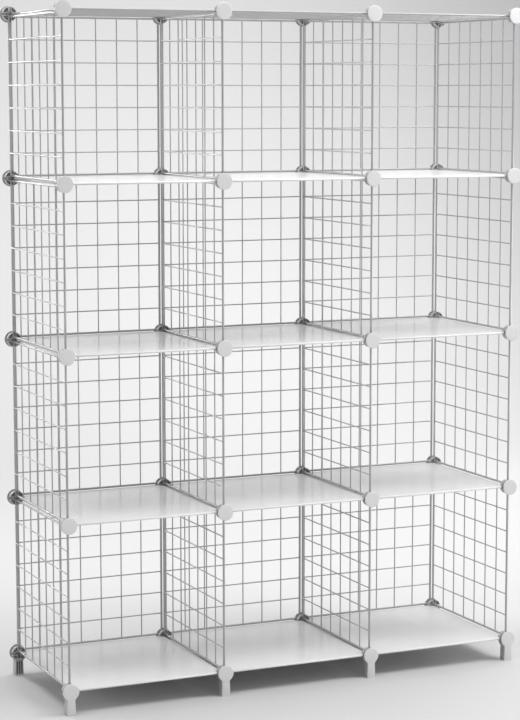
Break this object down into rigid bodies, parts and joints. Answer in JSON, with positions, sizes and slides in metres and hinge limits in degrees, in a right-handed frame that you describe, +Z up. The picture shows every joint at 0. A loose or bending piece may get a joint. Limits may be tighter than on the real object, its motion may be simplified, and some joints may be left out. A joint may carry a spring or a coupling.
{
  "type": "cube storage unit",
  "caption": "Free-standing cube storage unit of white wire-mesh panels and framed plastic shelves, held at the corners by round slotted connectors, with legs under the lowest ones.",
  "frame": {"origin": "on the floor, under the middle of the unit", "axes": "+Z up; the open front faces -Y; +X to the right as seen from the front"},
  "size_m": [0.9604, 0.3216, 1.2992],
  "materials": {
    "white_wire": "white powder coat over steel wire, satin",
    "white_sheet": "white plastic sheet, fairly glossy, in a white wire frame",
    "white_connector": "white injection-moulded plastic, low sheen"
  },
  "bodies": {
    "root": {"left_side_panel_tier_1": "white_wire", "left_divider_panel_tier_1": "white_wire", "right_divider_panel_tier_1": "white_wire", "right_side_panel_tier_1": "white_wire", "left_shelf_tier_1": "white_sheet", "middle_shelf_tier_1": "white_sheet", "right_shelf_tier_1": "white_sheet", "left_side_panel_tier_2": "white_wire", "left_divider_panel_tier_2": "white_wire", "right_divider_panel_tier_2": "white_wire", "right_side_panel_tier_2": "white_wire", "left_shelf_tier_2": "white_sheet", "middle_shelf_tier_2": "white_sheet", "right_shelf_tier_2": "white_sheet", "left_side_panel_tier_3": "white_wire", "left_divider_panel_tier_3": "white_wire", "right_divider_panel_tier_3": "white_wire", "right_side_panel_tier_3": "white_wire", "left_shelf_tier_3": "white_sheet", "middle_shelf_tier_3": "white_sheet", "right_shelf_tier_3": "white_sheet", "left_side_panel_tier_4": "white_wire", "left_divider_panel_tier_4": "white_wire", "right_divider_panel_tier_4": "white_wire", "right_side_panel_tier_4": "white_wire", "left_shelf_tier_4": "white_sheet", "middle_shelf_tier_4": "white_sheet", "right_shelf_tier_4": "white_sheet", "left_back_panels": "white_wire", "middle_back_panels": "white_wire", "right_back_panels": "white_wire", "top_panels": "white_wire", "front_connector_post_1_level_1": "white_connector", "front_connector_post_1_level_2": "white_connector", "front_connector_post_1_level_3": "white_connector", "front_connector_post_1_level_4": "white_connector", "front_foot_post_1": "white_connector", "back_foot_post_1": "white_connector", "back_top_connector_post_1": "white_connector", "front_connector_post_2_level_1": "white_connector", "front_connector_post_2_level_2": "white_connector", "front_connector_post_2_level_3": "white_connector", "front_connector_post_2_level_4": "white_connector", "front_foot_post_2": "white_connector", "back_foot_post_2": "white_connector", "back_top_connector_post_2": "white_connector", "front_connector_post_3_level_1": "white_connector", "front_connector_post_3_level_2": "white_connector", "front_connector_post_3_level_3": "white_connector", "front_connector_post_3_level_4": "white_connector", "front_foot_post_3": "white_connector", "back_foot_post_3": "white_connector", "back_top_connector_post_3": "white_connector", "front_connector_post_4_level_1": "white_connector", "front_connector_post_4_level_2": "white_connector", "front_connector_post_4_level_3": "white_connector", "front_connector_post_4_level_4": "white_connector", "front_foot_post_4": "white_connector", "back_foot_post_4": "white_connector", "back_top_connector_post_4": "white_connector"}
  },
  "joints": []
}
